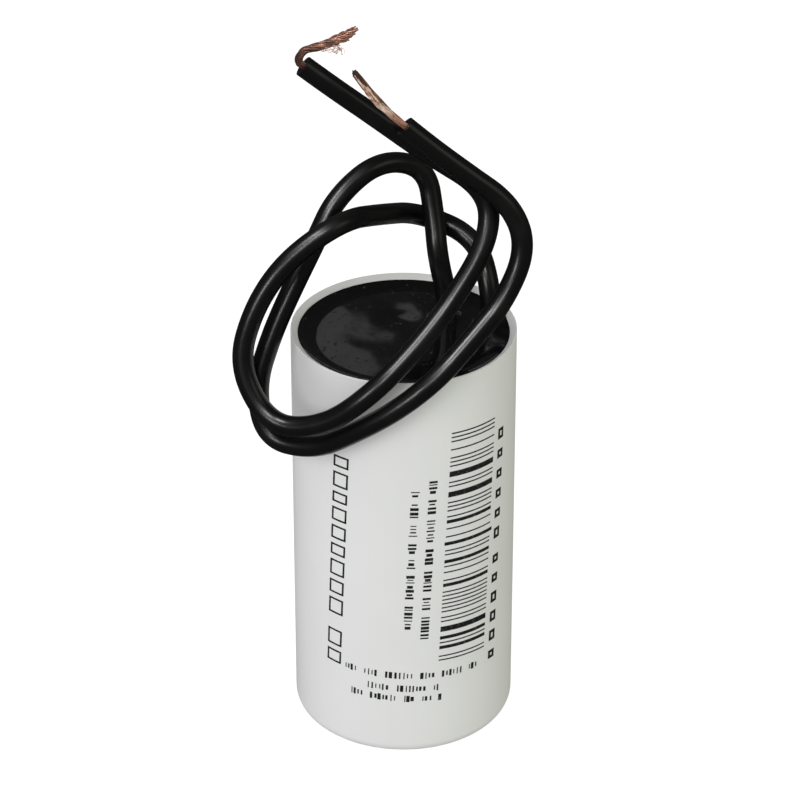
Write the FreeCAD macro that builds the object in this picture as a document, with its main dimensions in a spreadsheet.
"""Motor run capacitor: a round moulded case with a film winding potted in black resin.

Two insulated leads leave the resin, loop over the rim and end in bare copper.
Lengths are in millimetres. The origin is the centre of the case's base and +Z is the case's axis.
"""
import FreeCAD, Part

import math
import os

import Sketcher

V = FreeCAD.Vector
UP = V(0, 0, 1)

doc = FreeCAD.newDocument("run_capacitor")
sheet = doc.addObject("Spreadsheet::Sheet", "Sizes")
sheet.Label = "sizes"

SIZES = [
    # case: one moulded cup
    ("case_diameter", 28.0),
    ("case_height", 55.0),
    ("case_wall", 0.9),
    ("floor_thickness", 1.0),
    ("base_round", 1.8),
    ("floor_round", 0.8),
    ("rim_round", 0.35),
    ("foot_width", 2.6),
    ("foot_height", 0.4),
    ("gate_diameter", 2.2),
    ("gate_height", 0.2),
    # potting resin
    ("resin_edge_drop", 0.55),
    ("meniscus_rise", 0.65),
    ("meniscus_width", 2.3),
    ("collar_width", 0.7),
    ("collar_height", 0.5),
    # winding: film on a core, sprayed with metal at both ends and wrapped
    ("winding_wall_gap", 0.7),
    ("wrap_thickness", 0.3),
    ("core_diameter", 5.0),
    ("core_bore", 3.2),
    ("spray_thickness", 0.5),
    # leads
    ("lead_diameter", 2.6),
    ("lead_wall_gap", 0.35),
    ("lead_winding_gap", 0.15),
    ("strand_bundle", 1.1),
    ("strand_play", 0.05),
    ("strip_clear", 0.4),
    ("inner_bend", 1.3),
    ("joint_reach", 4.0),
    # solder joints, and the resin above and below them
    ("solder_diameter", 4.4),
    ("solder_height", 1.5),
    ("solder_round", 0.5),
    ("solder_skin", 0.1),
    ("joint_floor_gap", 1.3),
    ("joint_cover", 3.1),
]

for row, (alias, size) in enumerate(SIZES, start=1):
    sheet.set(f"A{row}", alias)
    sheet.set(f"B{row}", str(size))
    sheet.setAlias(f"B{row}", alias)
doc.recompute()

# Routes of the leads outside the resin, chosen by eye: each starts at its exit and ends where the
# insulation is cut off. The first two points stand straight above each other.
LEAD_A_ROUTE = [
    (10.9, 3.5, 53.8), (10.9, 3.5, 58.2), (9.0, 5.7, 64.8), (1.7, 6.2, 67.8), (-2.9, 0.7, 70.2),
    (-7.1, -4.6, 72.4), (-13.9, -6.8, 68.3), (-18.1, -8.6, 62.5), (-20.1, -10.5, 55.4),
    (-16.2, -13.6, 48.8), (-9.6, -16.2, 50.5), (-3.6, -17.1, 56.1), (1.3, -14.2, 60.3),
    (5.8, -10.5, 64.6), (10.3, -6.8, 71.0), (10.0, -4.5, 76.4), (2.7, -4.5, 81.3),
    (-3.2, -4.6, 86.0), (-8.6, -4.8, 90.2), (-11.8, -4.8, 92.8),
]
LEAD_B_ROUTE = [
    (5.3, 4.6, 53.8), (5.3, 4.6, 57.2), (4.2, 3.6, 62.9), (3.8, 2.7, 69.2), (2.7, 1.6, 76.3),
    (-2.6, 0.2, 77.8), (-7.9, -0.6, 73.1), (-10.7, -1.9, 67.8), (-13.6, -3.6, 62.3),
    (-16.1, -6.3, 57.4), (-18.1, -8.8, 51.5), (-16.8, -10.8, 45.3), (-10.8, -13.5, 45.5),
    (-5.8, -16.0, 49.4), (-0.9, -17.0, 53.0), (4.0, -16.5, 57.1), (8.1, -13.5, 60.8),
    (12.1, -10.4, 64.5), (14.7, -8.0, 70.4), (12.7, -7.1, 75.8), (7.2, -7.2, 80.1),
    (2.9, -7.2, 83.6), (0.1, -7.2, 86.1),
]

# Bare copper past the cut insulation: how far it runs straight on, its next points and the radius of
# each bend. Lead A's strands are folded back over themselves, lead B's run on almost straight.
BARE_A_STUB = 0.82
BARE_A_ROUTE = [(-11.8, -4.8, 95.0), (-10.0, -4.6, 95.5), (-7.0, -4.2, 96.4), (-5.5, -4.0, 97.0)]
BARE_A_RADII = [0.8, 0.9, 6.0, 6.0]
BARE_B_STUB = 1.0
BARE_B_ROUTE = [(-2.8, -7.4, 89.7), (-5.8, -7.8, 93.6)]
BARE_B_RADII = [6.0, 20.0]

# A bend's tangent length, as a share of the shorter of its two straight runs.
TANGENT_SHARE = 0.45


def number(expression):
    """The value of an expression on the sheet."""
    return float(sheet.evalExpression(expression))


# Radii and heights that several pieces share, as expressions on the sheet.
OUTSIDE = "(Sizes.case_diameter / 2)"
BORE = f"({OUTSIDE} - Sizes.case_wall)"
FLOOR = "(Sizes.foot_height + Sizes.floor_thickness)"
LEVEL = "(Sizes.case_height - Sizes.resin_edge_drop - Sizes.meniscus_rise)"
LEAD_RADIUS = "(Sizes.lead_diameter / 2)"
LEAD_A_REACH = f"({BORE} - Sizes.lead_wall_gap - {LEAD_RADIUS})"

WRAP_SPAN = f"({BORE} - Sizes.winding_wall_gap + {LEAD_A_REACH} - {LEAD_RADIUS} - Sizes.lead_winding_gap)"
WRAP_RADIUS = f"({WRAP_SPAN} / 2)"
FILM_RADIUS = f"({WRAP_RADIUS} - Sizes.wrap_thickness)"
WINDING_OFFSET = f"({BORE} - Sizes.winding_wall_gap - {WRAP_RADIUS})"

PACK_FOOT = f"({FLOOR} + Sizes.joint_floor_gap + Sizes.solder_height)"
PACK_HEAD = f"({LEVEL} - Sizes.joint_cover - Sizes.solder_height)"
PACK_WIDTH = f"({PACK_HEAD} - {PACK_FOOT})"
FILM_FOOT = f"({PACK_FOOT} + Sizes.spray_thickness)"
FILM_WIDTH = f"({PACK_WIDTH} - 2 * Sizes.spray_thickness)"
FILM_HEAD = f"({FILM_FOOT} + {FILM_WIDTH})"

# Lead A runs down between the winding and the wall, so the winding stands off to its other side.
ASIDE = V(LEAD_A_ROUTE[0][0], LEAD_A_ROUTE[0][1], 0).normalize()
CENTRE_X = f"({-ASIDE.x:.6f} * {WINDING_OFFSET})"
CENTRE_Y = f"({-ASIDE.y:.6f} * {WINDING_OFFSET})"


def add(kind, name, **bound):
    """Adds an object whose properties follow expressions on the sheet."""
    made = doc.addObject(kind, name)
    for prop, expression in bound.items():
        made.setExpression(prop, expression)
    return made


def stand(made, x, y, z):
    """Sets a piece's place, each coordinate an expression."""
    for axis, expression in zip("xyz", (x, y, z)):
        made.setExpression(f"Placement.Base.{axis}", expression)
    return made


def cut(name, base, tool):
    made = doc.addObject("Part::Cut", name)
    made.Base = base
    made.Tool = tool
    return made


def fuse(name, *pieces):
    made = doc.addObject("Part::MultiFuse", name)
    made.Shapes = list(pieces)
    return made


def fixed(name, shape):
    """A piece whose shape is worked out here, from the routes and the sheet."""
    made = doc.addObject("Part::Feature", name)
    made.Shape = shape
    return made


def meniscus_arc(wall, flat):
    """The arc that leaves the flat resin level and climbs the wall, tangent to the level."""
    rise, run = wall.y - flat.y, wall.x - flat.x
    radius = (rise**2 + run**2) / (2 * rise)
    centre = V(flat.x, flat.y + radius, 0)
    last = math.atan2(wall.y - centre.y, run)
    return Part.ArcOfCircle(Part.Circle(centre, UP, radius), -math.pi / 2, last)


def half_section(body, name, corners, arc_side=None):
    """Sketches a closed half section on the body's XZ plane, with one constraint a coordinate.

    A corner is two expressions, distance from the axis and height. Side arc_side, counted from 0, is
    the meniscus: an arc tangent to the flat side after it.
    """
    plane = next(f for f in body.Origin.OriginFeatures if f.Role == "XZ_Plane")
    sketch = body.newObject("Sketcher::SketchObject", name)
    sketch.AttachmentSupport = [(plane, "")]
    sketch.MapMode = "FlatFace"
    doc.recompute()
    places = [V(number(x), number(height), 0) for x, height in corners]
    sides = range(len(corners))
    for side in sides:
        start, end = places[side], places[side - len(corners) + 1]
        curved = side == arc_side
        sketch.addGeometry(meniscus_arc(start, end) if curved else Part.LineSegment(start, end))

    # An arc runs anticlockwise, so its own start is at the far corner.
    first = {side: 2 if side == arc_side else 1 for side in sides}
    for side in sides:
        after = (side + 1) % len(corners)
        join = "Tangent" if side == arc_side else "Coincident"
        sketch.addConstraint(Sketcher.Constraint(join, side, 3 - first[side], after, first[after]))
    for side, (place, words) in enumerate(zip(places, corners)):
        for kind, axis, size, expression in (
            ("DistanceX", -2, place.x, words[0]),
            ("DistanceY", -1, place.y, words[1]),
        ):
            if expression == "0":
                on_axis = Sketcher.Constraint("PointOnObject", side, first[side], axis)
                sketch.addConstraint(on_axis)
                continue
            distance = Sketcher.Constraint(kind, -1, 1, side, first[side], size)
            sketch.setExpression(f"Constraints[{sketch.addConstraint(distance)}]", expression)
    return sketch


def revolve(body, name, sketch):
    turned = body.newObject("PartDesign::Revolution", name)
    turned.Profile = sketch
    turned.ReferenceAxis = (sketch, ["V_Axis"])
    turned.Angle = 360.0
    body.Tip = turned
    doc.recompute()
    return turned


def ring_edges(shape, radius, height):
    """Numbers of the circular edges of one radius about an upright axis at one height."""
    found = []
    for count, edge in enumerate(shape.Edges, start=1):
        if not isinstance(edge.Curve, Part.Circle):
            continue
        if abs(edge.Curve.Radius - radius) < 1e-4 and abs(edge.Curve.Center.z - height) < 1e-4:
            found.append(count)
    return found


def round_rings(body, name, feature, rings, expression):
    """Rounds circular edges, each given as two expressions, its radius and height."""
    edges = []
    for radius, height in rings:
        edges += [f"Edge{n}" for n in ring_edges(feature.Shape, number(radius), number(height))]
    rounded = body.newObject("PartDesign::Fillet", name)
    rounded.Base = (feature, edges)
    rounded.setExpression("Radius", expression)
    body.Tip = rounded
    doc.recompute()
    return rounded


def build_case():
    """The cup: a thin wall on a floor with a foot ring, its rim and base rounded, a gate mark below."""
    foot = f"({OUTSIDE} - Sizes.base_round - Sizes.foot_width)"
    body = doc.addObject("PartDesign::Body", "Case")
    sketch = half_section(body, "CaseSection", [
        ("0", "Sizes.foot_height"),
        (f"{foot} - Sizes.foot_height", "Sizes.foot_height"),
        (foot, "0"),
        (OUTSIDE, "0"),
        (OUTSIDE, "Sizes.case_height"),
        (BORE, "Sizes.case_height"),
        (BORE, FLOOR),
        ("0", FLOOR),
    ])
    step = revolve(body, "Cup", sketch)
    step = round_rings(body, "BaseRound", step, [(OUTSIDE, "0")], "Sizes.base_round")
    step = round_rings(body, "FloorRound", step, [(BORE, FLOOR)], "Sizes.floor_round")
    rim = [(OUTSIDE, "Sizes.case_height"), (BORE, "Sizes.case_height")]
    round_rings(body, "RimRound", step, rim, "min(Sizes.rim_round; 0.45 * Sizes.case_wall)")
    gate = add("Part::Cylinder", "GateMark", Radius="Sizes.gate_diameter / 2", Height="Sizes.gate_height")
    stand(gate, "0", "0", "Sizes.foot_height - Sizes.gate_height")
    return fuse("CaseWithGate", body, gate)


def winding_ring(name, outer, inner, height, foot):
    """A tube about the winding's own axis."""
    solid = add("Part::Cylinder", name + "Outside", Radius=outer, Height=height)
    hole = add("Part::Cylinder", name + "Inside", Radius=inner, Height=height)
    for piece in (solid, hole):
        stand(piece, CENTRE_X, CENTRE_Y, foot)
    return cut(name, solid, hole)


def build_winding():
    """Core tube, film roll, sprayed ends and outer wrap, each seated on the one inside it."""
    core, hole = "Sizes.core_diameter / 2", "Sizes.core_bore / 2"
    spray = "Sizes.spray_thickness"
    return {
        "winding_core": winding_ring("Core", core, hole, PACK_WIDTH, PACK_FOOT),
        "film_winding": winding_ring("Film", FILM_RADIUS, core, FILM_WIDTH, FILM_FOOT),
        "bottom_end_spray": winding_ring("SprayBelow", FILM_RADIUS, core, spray, PACK_FOOT),
        "top_end_spray": winding_ring("SprayAbove", FILM_RADIUS, core, spray, FILM_HEAD),
        "winding_wrap": winding_ring("Wrap", WRAP_RADIUS, FILM_RADIUS, PACK_WIDTH, PACK_FOOT),
    }


def own_radii(points):
    """Each bend as wide as its two straight runs allow."""
    radii = []
    for before, here, after in zip(points, points[1:], points[2:]):
        turn = (here - before).getAngle(after - here)
        shorter = min((here - before).Length, (after - here).Length)
        radii.append(TANGENT_SHARE * shorter / math.tan(turn / 2))
    return radii


def rounded_path(points, radii):
    """Straight runs joined by tangent arcs, as one wire."""
    edges = []
    last = points[0]
    for before, here, after, radius in zip(points, points[1:], points[2:], radii):
        back, onward = (before - here).normalize(), (after - here).normalize()
        half_turn = (math.pi - back.getAngle(onward)) / 2
        tangent = radius * math.tan(half_turn)
        start, end = here + back * tangent, here + onward * tangent
        middle = here + (back + onward).normalize() * (radius / math.cos(half_turn) - radius)
        edges.append(Part.LineSegment(last, start).toShape())
        edges.append(Part.Arc(start, middle, end).toShape())
        last = end
    edges.append(Part.LineSegment(last, points[-1]).toShape())
    return Part.Wire(edges)


def rod(path, diameter):
    """Sweeps a disc along the path and compares the volume with section times length."""
    first = path.Edges[0]
    heading = first.tangentAt(first.FirstParameter)
    rim = Part.Wire(Part.makeCircle(diameter / 2, path.Vertexes[0].Point, heading))
    solid = path.makePipe(Part.Face(rim))
    expected = math.pi * diameter**2 / 4 * path.Length
    if abs(solid.Volume / expected - 1) > 0.005:
        raise RuntimeError(f"rod of {solid.Volume:.2f} mm3 where {expected:.2f} was expected")
    return solid


def seated_route(route, reach):
    """A lead's points, moved as one so that it leaves the resin at its level and its own place.

    reach is the exit's distance from the case's axis, or None to keep it.
    """
    exit_point = V(*route[0])
    flat = V(exit_point.x, exit_point.y, 0)
    shift = V(0, 0, number(LEVEL) - exit_point.z)
    if reach:
        shift += flat.normalize() * (number(reach) - math.hypot(exit_point.x, exit_point.y))
    return [V(*point) + shift for point in route], shift


class Lead:
    """One lead, from the joint on its sprayed face to its bare end.

    below is True for the lead whose strands turn in under the winding.
    """

    def __init__(self, letter, route, reach, bare, below):
        self.letter = letter
        self.below = below
        self.points, shift = seated_route(route, reach)
        stub, bare_points, self.bare_radii = bare
        end = self.points[-1]
        onward = (end - self.points[-2]).normalize()
        self.bare = [end + onward * stub] + [V(*point) + shift for point in bare_points]
        self.radii = own_radii(self.points)
        self.contact = PACK_FOOT if below else PACK_HEAD
        exit_point = self.points[0]
        lie = number("Sizes.strand_bundle / 2 + Sizes.solder_skin")
        height = number(self.contact) + (-lie if below else lie)
        self.corner = V(exit_point.x, exit_point.y, height)
        centre = V(number(CENTRE_X), number(CENTRE_Y), height)
        self.inward = (centre - self.corner).normalize()
        reach_in = number("Sizes.joint_reach")
        if below:
            reach_in += (centre - self.corner).Length - number(WRAP_RADIUS)
        self.tip = self.corner + self.inward * reach_in

    def sleeve_path(self):
        strip = self.corner + UP * number("Sizes.inner_bend + Sizes.strip_clear")
        return rounded_path([strip] + self.points[1:], self.radii)

    def strand_path(self):
        points = [self.tip, self.corner] + self.points[1:-1] + self.bare
        return rounded_path(points, [number("Sizes.inner_bend")] + self.radii + self.bare_radii)

    def report(self):
        free = rounded_path(self.points, self.radii).Length
        print(f"lead {self.letter}: free length {free:.1f}, insulation {self.sleeve_path().Length:.1f}")
        print(f"lead {self.letter}: bend radii " + " ".join(f"{radius:.1f}" for radius in self.radii))

    def build(self):
        """Insulation, strands and solder joint, and the solid spaces they take up in the resin."""
        self.report()
        whole = fixed(f"Sleeve{self.letter}", rod(self.sleeve_path(), number("Sizes.lead_diameter")))
        bore_size = number("Sizes.strand_bundle + 2 * Sizes.strand_play")
        bore = fixed(f"SleeveBore{self.letter}", rod(self.sleeve_path(), bore_size))
        strands = fixed(f"Strands{self.letter}", rod(self.strand_path(), number("Sizes.strand_bundle")))
        insulation = cut(f"Insulation{self.letter}", whole, bore)
        mound = self.build_mound()
        joint = cut(f"Joint{self.letter}", mound, strands)
        return insulation, strands, joint, [whole, strands, mound]

    def build_mound(self):
        """A low mound of solder on the sprayed face, over the end of the strands."""
        crown = "Sizes.solder_diameter / 3"
        cone = add("Part::Cone", f"Mound{self.letter}", Radius1="Sizes.solder_diameter / 2", Radius2=crown,
                   Height="Sizes.solder_height")
        place = self.tip - self.inward * number(crown)
        stand(cone, f"{place.x:.6f}", f"{place.y:.6f}", self.contact)
        crown_height = number(self.contact) + number("Sizes.solder_height") * (-1 if self.below else 1)
        if self.below:
            cone.Placement.Rotation = FreeCAD.Rotation(V(1, 0, 0), 180)
        doc.recompute()
        edge = ring_edges(cone.Shape, number(crown), crown_height)[0]
        softness = number("min(Sizes.solder_round; 0.4 * Sizes.solder_height)")
        mound = doc.addObject("Part::Fillet", f"SoftMound{self.letter}")
        mound.Base = cone
        mound.Edges = [(edge, softness, softness)]
        return mound


def build_resin(leads, spaces):
    """Resin fills the cup to a meniscus, climbs each lead a little and flows through the core."""
    body = doc.addObject("PartDesign::Body", "ResinFill")
    sketch = half_section(body, "ResinSection", [
        ("0", FLOOR),
        (BORE, FLOOR),
        (BORE, f"{LEVEL} + Sizes.meniscus_rise"),
        (f"{BORE} - Sizes.meniscus_width", LEVEL),
        ("0", LEVEL),
    ], arc_side=2)
    fill = revolve(body, "Fill", sketch)
    round_rings(body, "FillRound", fill, [(BORE, FLOOR)], "Sizes.floor_round")

    collars = []
    for lead in leads:
        collar = add("Part::Cone", f"Collar{lead.letter}", Radius1=f"{LEAD_RADIUS} + Sizes.collar_width",
                     Radius2=f"{LEAD_RADIUS} + Sizes.collar_width / 8", Height="Sizes.collar_height")
        exit_point = lead.points[0]
        stand(collar, f"{exit_point.x:.6f}", f"{exit_point.y:.6f}", LEVEL)
        collars.append(collar)
    cup_space = add("Part::Cylinder", "CupSpace", Radius=BORE, Height="Sizes.case_height")
    inside = doc.addObject("Part::MultiCommon", "CollarsInCup")
    inside.Shapes = [fuse("Collars", *collars), cup_space]

    resin = fuse("ResinWhole", body, inside)
    winding_space = winding_ring("WindingSpace", WRAP_RADIUS, "Sizes.core_bore / 2", PACK_WIDTH, PACK_FOOT)
    for count, space in enumerate([winding_space] + spaces, start=1):
        resin = cut(f"ResinCut{count}", resin, space)
    return resin


def check_document():
    for made in doc.Objects:
        if "Invalid" in made.State or "Error" in made.State:
            raise RuntimeError(f"{made.Name} failed: {made.State}")


def export(nodes):
    for name, made in nodes.items():
        if made.Shape.isNull() or not made.Shape.isValid():
            raise RuntimeError(f"{name} has no valid shape")
    os.makedirs("parts", exist_ok=True)
    for name, made in nodes.items():
        made.Label = name
        made.Shape.exportStep(f"parts/{name}.step")
        print(f"{name}: {len(made.Shape.Solids)} solid, {made.Shape.Volume:.1f} mm3")


def main():
    nodes = {"case": build_case()}
    nodes.update(build_winding())
    lead_a = Lead("A", LEAD_A_ROUTE, LEAD_A_REACH, (BARE_A_STUB, BARE_A_ROUTE, BARE_A_RADII), below=True)
    lead_b = Lead("B", LEAD_B_ROUTE, None, (BARE_B_STUB, BARE_B_ROUTE, BARE_B_RADII), below=False)
    spaces = []
    for lead, side in ((lead_a, "bottom"), (lead_b, "top")):
        insulation, strands, joint, taken = lead.build()
        name = f"lead_{lead.letter.lower()}"
        nodes[f"{name}_insulation"] = insulation
        nodes[f"{name}_conductor"] = strands
        nodes[f"{side}_solder_joint"] = joint
        spaces += taken
    nodes["potting_resin"] = build_resin([lead_a, lead_b], spaces)
    doc.recompute()
    check_document()
    export(nodes)


main()
